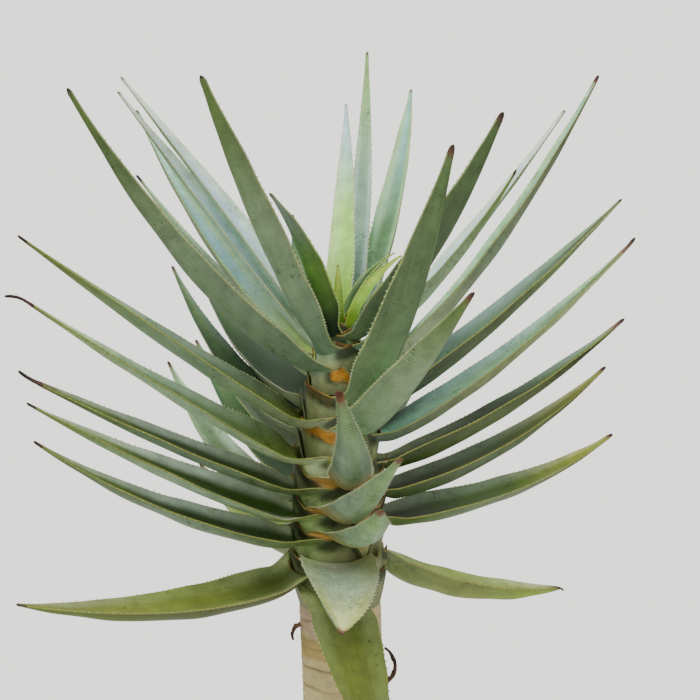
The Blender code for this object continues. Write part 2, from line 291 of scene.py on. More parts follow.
looks = {
    "olive": {
        "inner": ("#5e7026", "#8d9e35", "#929c3a"), "flank": ("#aabb81", "#9eb258", "#b6c28e"),
        "outer": ("#75864c", "#818f43", "#96b727"), "margin": "#a8a850", "tooth": "#d9d8a8",
        "tip": ("#685039", "#32251e")},
    "dusky": {
        "inner": ("#2e4e11", "#31470d", "#748c33"), "flank": ("#979f8a", "#bcccbb", "#c4d8b2"),
        "outer": ("#94ac6a", "#abc6a2", "#718e36"), "margin": "#a4ac4c", "tooth": "#dfe0b4",
        "tip": ("#5b4233", "#271d19")},
    "grey": {
        "inner": ("#62762f", "#698157", "#8ab089"), "flank": ("#4d5916", "#a2bc9f", "#c1e7a4"),
        "outer": ("#cbdaa7", "#b5d7a9", "#9eb652"), "margin": "#a8b450", "tooth": "#e4e6c0",
        "tip": ("#694e3c", "#2e231e")},
    "soft": {
        "inner": ("#0d0d0d", "#9abfab", "#98bd76"), "flank": ("#a3b7b2", "#cee7e3", "#9bd174"),
        "outer": ("#89a780", "#9ab388", "#738f4a"), "margin": "#b4c078", "tooth": "#e8ead0",
        "tip": ("#735947", "#403027")},
    "blue": {
        "inner": ("#a9ba61", "#86afb7", "#b6e7cc"), "flank": ("#425322", "#9dbb86", "#6d986a"),
        "outer": ("#cce7a9", "#7f9573", "#8c9f6c"), "margin": "#a8b860", "tooth": "#e6eac8",
        "tip": ("#6b5240", "#332721")},
    "mint": {
        "inner": ("#c0d2c2", "#6d976a", "#97d4c6"), "flank": ("#c0d2c2", "#a3d6a3", "#bde792"),
        "outer": ("#dbe7b8", "#92a481", "#7d8a5b"), "margin": "#b8c470", "tooth": "#d9dfa8",
        "tip": ("#745a46", "#403127")},
    "fresh": {
        "inner": ("#5f9a34", "#577930", "#8fb45c"), "flank": ("#86b45c", "#9cc078", "#a8c684"),
        "outer": ("#0d270d", "#7aa642", "#aab2a7"), "margin": "#b9cc66", "tooth": "#e2eab8",
        "tip": ("#8c7e59", "#69583c")},
    "pallid": {
        "inner": ("#7e836d", "#a4bc9c", "#dde79b"), "flank": ("#859e6a", "#a9b790", "#c9cd6f"),
        "outer": ("#dfad57", "#a2bda0", "#95bb74"), "margin": "#b2c58c", "tooth": "#e6ecd0",
        "tip": ("#825c42", "#5a3e30")},
    "young": {
        "inner": ("#71971b", "#ace56a", "#b8dde7"), "flank": ("#91b81c", "#bfe785", "#c5d8e7"),
        "outer": ("#5a8a2c", "#a8c46c", "#d3dfc0"), "margin": "#c6d68c", "tooth": "#eef2dc",
        "tip": ("#bcb89d", "#8f8666")},
    # shaded: a darker look, painted shade for a leaf that sits in shadow
    "shaded": {
        "inner": ("#0d160d", "#23400d", "#8bb15f"), "flank": ("#b1c29b", "#435e35", "#aac9b8"),
        "outer": ("#40590d", "#81955b", "#33440d"), "margin": "#a8b04c", "tooth": "#dfe0b4",
        "tip": ("#5b4233", "#271d19")},
    "ripe": {
        "inner": ("#10200d", "#4c6b17", "#95a22c"), "flank": ("#8b9782", "#819778", "#c2c77b"),
        "outer": ("#5d7737", "#8ba079", "#76842a"), "margin": "#b0b44a", "tooth": "#e4e4a8",
        "tip": ("#6a4a40", "#302422")},
    # dim: a darker look, painted shade for the back leaves that sit in shadow
    "dim": {
        "inner": ("#1c420e", "#1a430e", "#6f8f58"), "flank": ("#2c4a0d", "#2b4a22", "#578562"),
        "outer": ("#99aa7a", "#566a48", "#768a5c"), "margin": "#8c9468", "tooth": "#dfe4c4",
        "tip": ("#6e5d4c", "#4f3f33")},
    "clear": {
        "inner": ("#8dc8b2", "#aadaa9", "#474f20"), "flank": ("#282e12", "#bce7e0", "#aee79a"),
        "outer": ("#62745a", "#8e9a6b", "#cce79e"), "margin": "#b0b858", "tooth": "#e6eac8",
        "tip": ("#6b5240", "#332721")},
    # sunlit: a paler look, painted light for the leaves that catch the light
    "sunlit": {
        "inner": ("#d6e6ba", "#c0dee7", "#d3e7e2"), "flank": ("#c8dcd4", "#cde7ce", "#d9e7c3"),
        "outer": ("#c7e6ca", "#b9e7c4", "#8c9c50"), "margin": "#c0c88c", "tooth": "#d9dfa8",
        "tip": ("#745a46", "#403127")},
    "deep": {
        "inner": ("#57685f", "#a1bdb2", "#9ab383"), "flank": ("#a3b7b2", "#cce5de", "#a7c18c"),
        "outer": ("#86a16c", "#6f845c", "#65814b"), "margin": "#a8b86c", "tooth": "#e8ead0",
        "tip": ("#735947", "#403027")},
    "vivid": {
        "inner": ("#2e5a10", "#2e600d", "#4a7a14"), "flank": ("#4c7a1c", "#5c8c28", "#6a9a3c"),
        "outer": ("#72920d", "#bfe75e", "#e2e767"), "margin": "#b4d040", "tooth": "#e2eab8",
        "tip": ("#8c7e59", "#69583c")},
}

footTints = {
    "sheath": ("#7d8358", "#98a272", "#93a07c"),   # clasping foot, from its bottom to the blade
    "rim": ("#8a6430", "#c4a242", "#b4b878"),      # along the papery edge, from its bottom to the blade
    "rimInward": 0.42,                             # the inner side of that edge is browner
    "paintedRimShadow": "#20290f",                         # painted shadow on the skin right under it
    "paintedRimShadowShare": 0.86,
    "stainShare": 0.94,
    "paintedFootLight": 0.7,                               # painted light: how much paler the channel's foot is
    "paintedLightBelow": 0.2,                              # painted light on the back of the foot below the painted shadow
    "ridge": 0.6,                                  # painted highlight along the foot's ridge
}

# The leaves, with the same sizes and places as the solids. rise is the slope at foot and tip, bend
# how the slope changes, fullness how late the blade narrows, sweep how far it turns to the side, and
# roll and twist how it tips round its own line. turn is how far it points away from its azimuth.
# clasp, cuspAt and rim shape the clasping foot, and footShare is the blade's share of its width there.
# stain is a colour under the foot's rim, with the degrees where it starts and stops. dry is the length
# of dead tip and dead its colours, curl the degrees that the tip bends, blunt its half width. look
# names its colours, shade is how light they are, which holds the leaf's own tone together with painted
# light and shade from where it sits, and scuffed gives it the rubbed skin.

leaves = {
    "leaf_left_1": {"height": 508.5, "azimuth": 213, "length": 258, "rise": (-20.5, 17.5),
                    "width": 50, "look": "olive", "shade": 0.69, "bend": 0.58, "fullness": 2.3,
                    "sweep": -1, "roll": -12, "twist": 6, "dry": 8, "dead": ("#69603f", "#4d3e2d"),
                    "blunt": 2.0},
    "leaf_left_2": {"height": 535, "azimuth": 209, "length": 260, "rise": (12.5, 37), "width": 47,
                    "look": "dusky", "shade": 0.85, "bend": 0.9, "fullness": 1.5, "sweep": 2,
                    "roll": -15, "twist": -5, "cuspAt": 0.6, "rim": (16, 9), "dry": 8,
                    "blunt": 2.0},
    "leaf_left_3": {"height": 556, "azimuth": 209.5, "length": 269, "rise": (17, 32), "width": 46,
                    "look": "dusky", "shade": 1.46, "bend": 0.55, "sweep": 3, "roll": -31,
                    "twist": 19, "cuspAt": 0.6, "rim": (16, 9), "dry": 8, "blunt": 2.0},
    "leaf_left_4": {"height": 578, "azimuth": 211, "length": 277, "rise": (19, 29.5), "width": 39,
                    "look": "dusky", "shade": 0.71, "bend": 0.45, "fullness": 1.7, "roll": -21,
                    "cuspAt": 0.6, "rim": (17, 10), "dry": 22, "dead": ("#5b3d33", "#251a17"),
                    "curl": 12, "blunt": 2.2},
    "leaf_left_5": {"height": 604, "azimuth": 210.5, "length": 301, "rise": (21, 35.5), "width": 47,
                    "look": "grey", "shade": 1.23, "bend": 0.3, "fullness": 1.1, "roll": -32,
                    "twist": 22, "cuspAt": 0.6, "rim": (19, 11), "stain": ("#8f9a34", 40, 112),
                    "dry": 24, "dead": ("#684739", "#251a17"), "curl": -38, "blunt": 2.1},
    "leaf_left_6": {"height": 635, "azimuth": 210.5, "length": 299, "rise": (23.5, 37), "width": 44,
                    "look": "grey", "shade": 0.71, "bend": 0.25, "fullness": 1.7, "sweep": -3,
                    "roll": -26, "twist": 19, "cuspAt": 0.6, "rim": (27, 15), "dry": 8,
                    "dead": ("#5b4336", "#2a1e1c"), "blunt": 2.3},
    "leaf_left_7": {"height": 684, "azimuth": 210, "length": 318, "rise": (17, 59), "width": 47,
                    "look": "soft", "shade": 0.83, "bend": 0.41, "fullness": 1.55, "sweep": 2,
                    "roll": 3, "twist": 8, "cuspAt": 0.6, "rim": (9, 2),
                    "stain": ("#d08e1c", 38, 112), "dry": 4, "dead": ("#565f40", "#353526"),
                    "blunt": 2.8},
    "leaf_left_8": {"height": 698, "azimuth": 228.5, "length": 265, "rise": (54.5, 60.5),
                    "width": 39, "look": "soft", "shade": 0.99, "bend": 0.8, "fullness": 2.9,
                    "sweep": 4, "roll": -18, "twist": 12, "dry": 3, "dead": ("#565f40", "#353526"),
                    "blunt": 3.5},
    "leaf_right_1": {"height": 516, "azimuth": 24, "length": 210, "rise": (-36, 0), "width": 56,
                     "look": "olive", "shade": 1.5, "bend": 0.75, "fullness": 2.75, "clasp": 76,
                     "dry": 10, "curl": -55, "blunt": 1.8},
    "leaf_right_2": {"height": 545.5, "azimuth": 23, "length": 262, "rise": (4, 28), "width": 50,
                     "look": "ripe", "shade": 1.2, "bend": 1.64, "fullness": 1.7, "sweep": 4.5,
                     "roll": 8, "twist": 2, "clasp": 76, "dry": 5, "blunt": 2.7},
    "leaf_right_3": {"height": 569.5, "azimuth": 21, "length": 264, "rise": (4, 36), "width": 49,
                     "look": "ripe", "shade": 0.8, "bend": 0.7, "sweep": 7, "roll": -2, "twist": 3,
                     "clasp": 76, "dry": 6, "blunt": 2.7},
    "leaf_right_4": {"height": 594.5, "azimuth": 18.5, "length": 281, "rise": (8.5, 35.5),
                     "width": 47, "look": "shaded", "shade": 0.81, "bend": 0.53, "fullness": 1.75,
                     "sweep": 4.5, "roll": -10, "twist": 6, "clasp": 76, "dry": 15,
                     "dead": ("#926d5b", "#33211c"), "blunt": 2.8},
    "leaf_right_5": {"height": 619.5, "azimuth": 12, "length": 299, "rise": (12, 45), "width": 49,
                     "look": "clear", "shade": 1.49, "bend": 0.38, "fullness": 1.3, "sweep": -2,
                     "roll": 6, "twist": -1, "clasp": 76, "dry": 18, "dead": ("#926d5b", "#33211c"),
                     "curl": 8, "blunt": 2.5},
    "leaf_right_6": {"height": 647, "azimuth": 10.5, "length": 291, "rise": (21, 45), "width": 54,
                     "look": "clear", "shade": 0.6, "bend": 0.35, "fullness": 1.45, "sweep": -2.5,
                     "roll": -2, "twist": 13, "clasp": 76, "dry": 4, "dead": ("#565f40", "#353526"),
                     "blunt": 2.0},
    "leaf_right_7": {"height": 673, "azimuth": 4.5, "length": 332, "rise": (22, 62.5), "width": 36,
                     "look": "mint", "shade": 1.04, "bend": 0.33, "fullness": 2, "sweep": 2,
                     "roll": -8, "twist": 17, "clasp": 76, "dry": 7, "dead": ("#674036", "#2d191d"),
                     "blunt": 2.6},
    "leaf_right_8": {"height": 690.5, "azimuth": 28.5, "length": 310, "rise": (32.5, 49.5),
                     "width": 30, "look": "sunlit", "bend": 0.35, "fullness": 1.8, "roll": -4,
                     "twist": 4, "clasp": 76, "dry": 3, "dead": ("#838d6e", "#64614d"),
                     "blunt": 2.2},
    "leaf_right_9": {"height": 699.5, "azimuth": 353, "length": 205, "rise": (34, 60), "width": 34,
                     "look": "soft", "shade": 1.35, "bend": 0.7, "fullness": 1.65, "dry": 5,
                     "dead": ("#4f3f33", "#1b1715"), "blunt": 2.2},
    "leaf_front_1": {"height": 493, "azimuth": 262, "length": 171, "rise": (-36, -56.5),
                     "width": 59, "look": "olive", "shade": 0.79, "bend": 0.65, "fullness": 2.2,
                     "sweep": 15, "twist": -11, "turn": 27, "cuspAt": 0.64, "dry": 6, "blunt": 3.0},
    "leaf_front_2": {"height": 522, "azimuth": 267, "length": 166, "rise": (6, -8.5), "width": 63,
                     "look": "pallid", "shade": 1.02, "bend": 0.8, "fullness": 3.1, "sweep": -5,
                     "roll": 4, "twist": -22, "turn": 7, "cuspAt": 0.64, "rim": (10, 1),
                     "scuffed": True, "dry": 6, "dead": ("#8f704e", "#5c3d2d"), "blunt": 2.6},
    "leaf_front_3": {"height": 547, "azimuth": 281.5, "length": 175, "rise": (6.5, 31.5),
                     "width": 48, "look": "pallid", "shade": 1.22, "bend": 0.85, "fullness": 1.8,
                     "sweep": -12, "roll": 10, "twist": -13, "turn": 2, "cuspAt": 0.64,
                     "rim": (11, -1), "stain": ("#7a5a34", 10, 100), "scuffed": True, "dry": 6,
                     "dead": ("#9d8a67", "#835c45"), "blunt": 3.6},
    "leaf_front_4": {"height": 564, "azimuth": 278, "length": 214, "rise": (10.5, 35), "width": 50,
                     "look": "pallid", "shade": 1.01, "bend": 0.8, "sweep": 14, "roll": 5,
                     "twist": -4, "turn": -1, "cuspAt": 0.63, "rim": (20, 4), "scuffed": True,
                     "dry": 6, "dead": ("#9d8a67", "#835c45"), "blunt": 2.8},
    "leaf_front_5": {"height": 589, "azimuth": 281.5, "length": 244, "rise": (12.5, 40),
                     "width": 37, "look": "pallid", "shade": 0.87, "bend": 0.8, "fullness": 1.9,
                     "sweep": -15, "roll": -3, "turn": -7, "cuspAt": 0.64, "rim": (23, 7),
                     "scuffed": True, "dry": 11, "dead": ("#8c6440", "#6c3c26"), "blunt": 3.3},
    "leaf_front_6": {"height": 631, "azimuth": 308, "length": 191, "rise": (35.5, 47), "width": 54,
                     "look": "soft", "shade": 1.16, "fullness": 1.7, "sweep": 5, "roll": 4,
                     "twist": -11, "turn": -2, "cuspAt": 0.86, "rim": (17, 5),
                     "stain": ("#bf8426", -112, -30), "scuffed": True, "dry": 7,
                     "dead": ("#8f674e", "#4d342a"), "blunt": 3.0},
    "leaf_front_7": {"height": 654, "azimuth": 311, "length": 241, "rise": (39, 73.5), "width": 49,
                     "look": "deep", "shade": 1.04, "bend": 0.3, "fullness": 2.1, "sweep": 2,
                     "roll": -2, "twist": -6, "turn": 6.5, "cuspAt": 0.87, "rim": (29, 14),
                     "stain": ("#54502a", -112, -40), "dry": 7, "dead": ("#765542", "#32221c"),
                     "blunt": 3.6},
    "leaf_front_8": {"height": 709, "azimuth": 331, "length": 234, "rise": (35, 64.5), "width": 44,
                     "look": "deep", "shade": 0.85, "bend": 0.52, "fullness": 2.15, "sweep": -2,
                     "roll": -6, "twist": -8, "turn": 1, "clasp": 140, "cuspAt": 0.85,
                     "stain": ("#2f4715", -116, -40), "dry": 7, "dead": ("#694e3f", "#32221c"),
                     "blunt": 3.6},
    "leaf_back_1": {"height": 512, "azimuth": 120, "length": 270, "rise": (-14, 20), "width": 52,
                    "look": "olive", "shade": 1.5, "fullness": 2.2, "clasp": 44, "dry": 8},
    "leaf_back_2": {"height": 541, "azimuth": 128, "length": 290, "rise": (-10, 46), "width": 54,
                    "look": "grey", "shade": 1.03, "fullness": 1.7, "clasp": 44, "dry": 7},
    "leaf_back_3": {"height": 568, "azimuth": 122, "length": 280, "rise": (-2, 40), "width": 50,
                    "look": "dim", "shade": 1.5, "clasp": 44, "dry": 6},
    "leaf_back_4": {"height": 596, "azimuth": 124, "length": 285, "rise": (6, 40), "width": 50,
                    "look": "grey", "shade": 1.36, "clasp": 44, "dry": 9},
    "leaf_back_5": {"height": 622, "azimuth": 129, "length": 285, "rise": (-4, 50), "width": 48,
                    "look": "dim", "shade": 0.83, "fullness": 1.4, "clasp": 74, "dry": 5},
    "leaf_back_6": {"height": 650, "azimuth": 126, "length": 254, "rise": (6, 50), "width": 54,
                    "look": "dim", "shade": 0.92, "bend": 1, "clasp": 74, "footShare": 1.1, "dry": 6},
    "leaf_back_7": {"height": 674, "azimuth": 140.5, "length": 285, "rise": (16.5, 45), "width": 37,
                    "look": "grey", "shade": 1.08, "bend": 0.3, "fullness": 1.1, "sweep": 6,
                    "roll": 2, "twist": -3, "clasp": 44, "dry": 9, "dead": ("#504039", "#1b1516")},
    "leaf_back_8": {"height": 662, "azimuth": 104, "length": 230, "rise": (20, 54), "width": 46,
                    "look": "dim", "shade": 1.02, "fullness": 1.5, "clasp": 44, "dry": 5},
    "leaf_back_9": {"height": 690, "azimuth": 145, "length": 310, "rise": (26, 58), "width": 46,
                    "look": "blue", "shade": 1.5, "fullness": 1.4, "clasp": 44, "dry": 4,
                    "dead": ("#838d6e", "#64614d")},
    "leaf_back_10": {"height": 698, "azimuth": 151, "length": 315, "rise": (46, 47), "width": 42,
                     "look": "sunlit", "shade": 1.03, "bend": 0.8, "fullness": 1.4, "clasp": 44,
                     "dry": 4, "dead": ("#838d6e", "#64614d")},
    "leaf_back_11": {"height": 706, "azimuth": 152, "length": 315, "rise": (50, 46), "width": 42,
                     "look": "sunlit", "shade": 0.92, "bend": 0.8, "fullness": 1.4, "clasp": 44,
                     "dry": 4, "dead": ("#838d6e", "#64614d")},
    "leaf_back_12": {"height": 610, "azimuth": 62, "length": 200, "rise": (8, 40), "width": 46,
                     "look": "grey", "clasp": 44, "dry": 6},
    "leaf_back_13": {"height": 642, "azimuth": 68, "length": 215, "rise": (16, 44), "width": 46,
                     "look": "grey", "clasp": 44, "dry": 5},
    "leaf_centre_1": {"height": 706, "azimuth": 76, "length": 287, "rise": (45, 81.5), "width": 27,
                      "look": "soft", "shade": 1.13, "bend": 0.75, "fullness": 1.9, "sweep": 10,
                      "roll": -7, "twist": -5, "dry": 3, "dead": ("#838d6e", "#64614d"),
                      "blunt": 1.4},
    "leaf_centre_2": {"height": 718, "azimuth": 82.5, "length": 219, "rise": (67, 61.5),
                      "width": 31, "look": "young", "shade": 1.1, "bend": 0.8, "fullness": 1.8,
                      "sweep": 11, "roll": -30, "twist": 6, "dry": 2, "blunt": 1.4},
    "leaf_centre_3": {"height": 699, "azimuth": 60.5, "length": 268, "rise": (38, 66), "width": 35,
                      "look": "mint", "shade": 0.96, "bend": 0.28, "fullness": 2.55, "sweep": 17.5,
                      "roll": -25, "twist": 14, "turn": -3, "dry": 3,
                      "dead": ("#838d6e", "#64614d"), "blunt": 1.7},
    "leaf_centre_4": {"height": 712, "azimuth": 235, "length": 146, "rise": (73.5, 41.5),
                      "width": 28, "look": "fresh", "shade": 0.78, "bend": 1.1, "fullness": 2.2,
                      "sweep": -6, "roll": -3, "dry": 3, "dead": ("#838d6e", "#64614d"),
                      "blunt": 1.9},
    "leaf_centre_5": {"height": 724, "azimuth": 270, "length": 60, "rise": (54, 64), "width": 10,
                      "look": "vivid", "bend": 1, "fullness": 2, "dry": 1, "blunt": 0.8},
    "leaf_centre_6": {"height": 726, "azimuth": 27, "length": 77, "rise": (77, 27), "width": 14,
                      "look": "vivid", "shade": 0.6, "bend": 0.8, "fullness": 2.1, "twist": 3,
                      "dry": 1, "blunt": 1.0},
    "leaf_centre_7": {"height": 719, "azimuth": 353, "length": 78, "rise": (75.5, 35.5),
                      "width": 18, "look": "vivid", "shade": 1.5, "bend": 0.95, "fullness": 2.2,
                      "sweep": -4, "roll": -12, "twist": -21, "dry": 1, "blunt": 1.2},
}

leafShape = {
    "channelDepth": 0.36,     # of the half width
    "keelDepth": 0.34,
    "ripple": 0.0005,         # slow waves of both faces
    "marginThick": 0.0008,
    "marginWide": 0.0003,     # the horny line on each face
    "paperWide": 0.003,       # the papery edge of the clasping foot
    "acrossCount": 23,        # points across each face
    "footShare": 0.72,        # the blade is this share of its width where it leaves the stem
    "footOfStem": 0.68,
    "footRun": 0.22,
    "footSpread": 0.05,       # half width of the foot laid flat, less the blade's
    "rollRun": 0.12,
    "curlShare": 0.8,         # a curl takes this share of the dead tip
    "blunt": 1.9,             # mm, the half width that a tip keeps
    "shrink": 0.12,           # the dead tip is this much thinner
    "sheathRows": 20,         # rows of the mesh down the stem, in the join and along the blade
    "joinRows": 14,
    "bladeRows": 46,
    "dryRows": (0.06, 0.2, 0.4, 0.6, 0.8),               # of the dead tip
    "roundRows": (1.3, 0.95, 0.6, 0.32, 0.12, 0.02),     # half widths from the very end
    "joinRun": (-0.004, 0.022),   # the foot eases into the blade between these distances
    "fullStem": 0.034,        # a stem of this radius carries feet of full size
    "footSizes": (0.3, 1.05),
    "clasp": 118.0,           # degrees that the foot reaches round the stem to each side
    "cuspAt": 0.8,            # its rim peaks at this share of that
    "footTurn": 54.0,         # degrees to each side where the margin leaves the stem
    "sheathDeep": 0.034,      # how far the foot runs down the stem
    "crownBottom": 0.472,     # and no lower than this
    "rim": (22, 13),          # mm, its height over the foot at its peak, and where the margin leaves
    "flare": 0.27,            # outer feet lie outside the ones above
    "sheathThick": (0.001, 0.0014, 0.0053),   # at its edges, in its middle, and more towards the blade
    "steps": 240,             # of the sum that gives the leaf's line
}

teeth = {
    "pitch": (0.0027, 0.0058),   # spacing at the foot and along the outer half
    "high": 0.0017,
    "wide": 0.0021,
    "lean": 0.0005,
    "sunk": 0.0004,
}


def blend3(colours, share):
    # foot, middle and tip colours along a share from 0 to 1
    first, middle, last = (linear(c) for c in colours)
    share = np.clip(np.asarray(share, float), 0.0, 1.0)[..., None]
    lower = smooth(share / 0.45)
    upper = smooth((share - 0.45) / 0.5)
    return (first * (1 - lower) + middle * lower) * (1 - upper) + last * upper


def mix(base, colour, share):
    # colour laid over base, with one share for each point
    share = share[..., None]
    return base * (1 - share) + colour * share


def storeTint(mesh, colours, domain):
    layer = mesh.color_attributes.new("tint", "FLOAT_COLOR", domain)
    layer.data.foreach_set("color", np.hstack([colours, np.ones((len(colours), 1))]).ravel())


def storeGrain(mesh, grain):
    # distance across and along the leaf, for the patterns that follow it
    layer = mesh.attributes.new("grain", "FLOAT_VECTOR", "POINT")
    layer.data.foreach_set("vector", grain.ravel())


def centreline(spec):
    # the channel's floor from the foot at the origin, out along +X, as a function of the distance
    length = spec["length"] / 1000.0
    curlRun = leafShape["curlShare"] * spec.get("dry", 10) / 1000.0
    steps = leafShape["steps"]
    edges = np.linspace(0.0, 1.0, steps + 1)
    middles = (edges[:-1] + edges[1:]) / 2

    def angles(along):
        along = np.maximum(along, 0.0)
        low, high = spec["rise"]
        curled = smooth(1.0 + (along - 1.0) * length / curlRun)
        rise = low + (high - low) * along ** spec.get("bend", 0.6) + spec.get("curl", 0.0) * curled
        return np.radians(rise), np.radians(spec.get("sweep", 0.0)) * along ** 1.5

    def headingWay(rise, heading):
        return np.stack([np.cos(rise) * np.cos(heading), np.cos(rise) * np.sin(heading), np.sin(rise)], -1)

    move = headingWay(*angles(middles)) * length / steps
    points = np.vstack([np.zeros(3), np.cumsum(move, 0)])

    def at(distance):
        along = distance / length
        rise, heading = angles(along)
        forward = headingWay(rise, heading)
        side = np.stack([-np.sin(heading), np.cos(heading), 0.0 * heading], -1)
        face = np.cross(forward, side)
        inside = np.clip(along, 0.0, 1.0)
        here = np.stack([np.interp(inside, edges, points[:, k]) for k in range(3)], -1)
        here = here + forward * ((along - inside) * length)[..., None]
        return here, forward, side, face

    return at


def fromFoot(local, height, radius, azimuth, facing):
    # points given from a foot on the stem, out along +X, set in the world
    footX = float(stemAxis(height)) + radius * math.cos(azimuth)
    footY = radius * math.sin(azimuth)
    cosF, sinF = math.cos(facing), math.sin(facing)
    return np.stack([footX + local[..., 0] * cosF - local[..., 1] * sinF,
                     footY + local[..., 0] * sinF + local[..., 1] * cosF, height + local[..., 2]], -1)


def measureLeaf(spec):
    # a leaf's own sizes in metres, and its rows from the bottom of the clasping foot to the tip
    leaf = SimpleNamespace()
    leaf.length = spec["length"] / 1000.0
    leaf.footHeight = spec["height"] / 1000.0
    leaf.radius = float(stemRadius(leaf.footHeight))
    leaf.azimuth = math.radians(spec["azimuth"])
    leaf.facing = leaf.azimuth + math.radians(spec.get("turn", 0.0))
    leaf.dry = spec["dry"] / 1000.0
    leaf.blunt = spec.get("blunt", leafShape["blunt"]) / 1000.0
    leaf.at = centreline(spec)
    smallest, largest = leafShape["footSizes"]
    leaf.size = min(max(leaf.radius / leafShape["fullStem"], smallest), largest)
    leaf.deep = min(leafShape["sheathDeep"] * leaf.size, leaf.footHeight - leafShape["crownBottom"])
    leaf.blendFrom = leafShape["joinRun"][0] * leaf.size
    leaf.blendTo = leafShape["joinRun"][1] * max(leaf.size, 0.5)

    tipRun = max(leaf.dry, 1.45 * leaf.blunt)
    sheathRows = np.linspace(-leaf.deep, leaf.blendFrom, leafShape["sheathRows"])[:-1]
    joinRows = np.linspace(leaf.blendFrom, leaf.blendTo, leafShape["joinRows"])[:-1]
    t = np.linspace(0.0, 1.0, leafShape["bladeRows"])
    bladeRows = leaf.blendTo + (leaf.length - tipRun - leaf.blendTo) * (1.0 - (1.0 - t) ** 1.2)
    tipRows = np.concatenate([tipRun * (np.array(leafShape["dryRows"]) - 1.0),
                              -leaf.blunt * np.array(leafShape["roundRows"])])
    leaf.rows = np.concatenate([sheathRows, joinRows, bladeRows, leaf.length + np.sort(tipRows)])
    leaf.along = np.clip(leaf.rows / leaf.length, 0.0, 1.0)
    return leaf


def shapeSection(leaf, spec, rng):
    # width, channel and keel of each row, with a column for each point round the section: the upper
    # face, a margin, the lower face and the other margin
    rows, along = leaf.rows, leaf.along
    half = spec["width"] / 2000.0 * (1.0 - along ** spec.get("fullness", 1.6))
    footShare = min(leafShape["footShare"], leafShape["footOfStem"] * leaf.radius / (spec["width"] / 2000.0))
    footShare = spec.get("footShare", footShare)
    half *= footShare + (1.0 - footShare) * smooth(along / leafShape["footRun"])
    wobble = rng.uniform(0, 2 * math.pi, 6)
    half *= 1.0 + 0.012 * np.sin(along * 19 + wobble[0]) + 0.01 * np.sin(along * 41 + wobble[1])
    dead = smooth((rows - (leaf.length - leaf.dry)) / max(leaf.dry * 0.25, 0.0008))
    bluntHalf = leaf.blunt * smooth(along / 0.5)
    half = (half ** 3 + bluntHalf ** 3) ** (1 / 3) * (1.0 - leafShape["shrink"] * dead)
    fromEnd = np.clip((leaf.length - rows) / (1.6 * leaf.blunt), 0.0, 1.0)
    half = np.maximum(half * np.sqrt(1.0 - (1.0 - fromEnd) ** 2), 0.0002)
    lift = leafShape["channelDepth"] * half
    keelGrowth = 1.0 + 0.5 * along + 0.5 * smooth((along - 0.8) / 0.2)
    keel = np.maximum(leafShape["keelDepth"] * half * keelGrowth, 0.0003)
    edge = np.minimum(leafShape["marginThick"], 0.6 * half)

    clasping = smooth((leaf.blendTo - rows) / (leaf.blendTo - leaf.blendFrom))
    spread = half + clasping * leafShape["footSpread"] * leaf.size
    lineShare = np.minimum(leafShape["marginWide"] / spread, 0.2)[:, None]
    paperShare = np.minimum(leafShape["paperWide"] / spread, 0.4)[:, None]
    inner = np.sin(np.linspace(-1.0, 1.0, leafShape["acrossCount"]) * 1.2) / math.sin(1.2)
    ends = np.ones((len(rows), 1))
    top = np.concatenate([-ends, lineShare - 1, (1 - paperShare) * inner, 1 - lineShare, ends], 1)
    across = np.concatenate([top, ends, top[:, ::-1], -ends], 1)
    leaf.across, leaf.topCount, leaf.colCount = across, top.shape[1], across.shape[1]
    leaf.columns = np.arange(leaf.colCount)
    leaf.isTop = leaf.columns < leaf.topCount
    leaf.isRim = np.isin(leaf.columns, [leaf.topCount, leaf.colCount - 1])

    leaf.offMiddle = np.abs(across)
    upper = lift[:, None] * leaf.offMiddle ** 1.8
    bulge = np.clip(1.0 - leaf.offMiddle ** 2.2, 0.0, 1.0) ** 0.9
    thick = edge[:, None] + (keel - edge)[:, None] * bulge
    ripple = leafShape["ripple"] * np.sin(along * 23 + wobble[2])[:, None] * np.sin(across * 3.1 + wobble[3])
    ripple = ripple * smooth(half / 0.012)[:, None]
    up = np.where(leaf.isTop, upper, upper - thick) + ripple
    leaf.up = np.where(leaf.isRim, upper - 0.5 * edge[:, None], up)
    leaf.out = half[:, None] * across + np.where(leaf.isRim, np.sign(across) * 0.3 * edge[:, None], 0.0)


def layBlade(leaf, spec):
    # the section's points along the leaf's own line
    here, forward, side, face = leaf.at(leaf.rows)
    tilt = np.radians(spec.get("roll", 0.0) + spec.get("twist", 0.0) * leaf.along)
    tilt = (tilt * smooth(leaf.along / leafShape["rollRun"]))[:, None]
    acrossWay = side * np.cos(tilt) + face * np.sin(tilt)
    upWay = face * np.cos(tilt) - side * np.sin(tilt)
    local = here[:, None] + acrossWay[:, None] * leaf.out[..., None] + upWay[:, None] * leaf.up[..., None]
    return fromFoot(local, leaf.footHeight, leaf.radius, leaf.azimuth, leaf.facing)


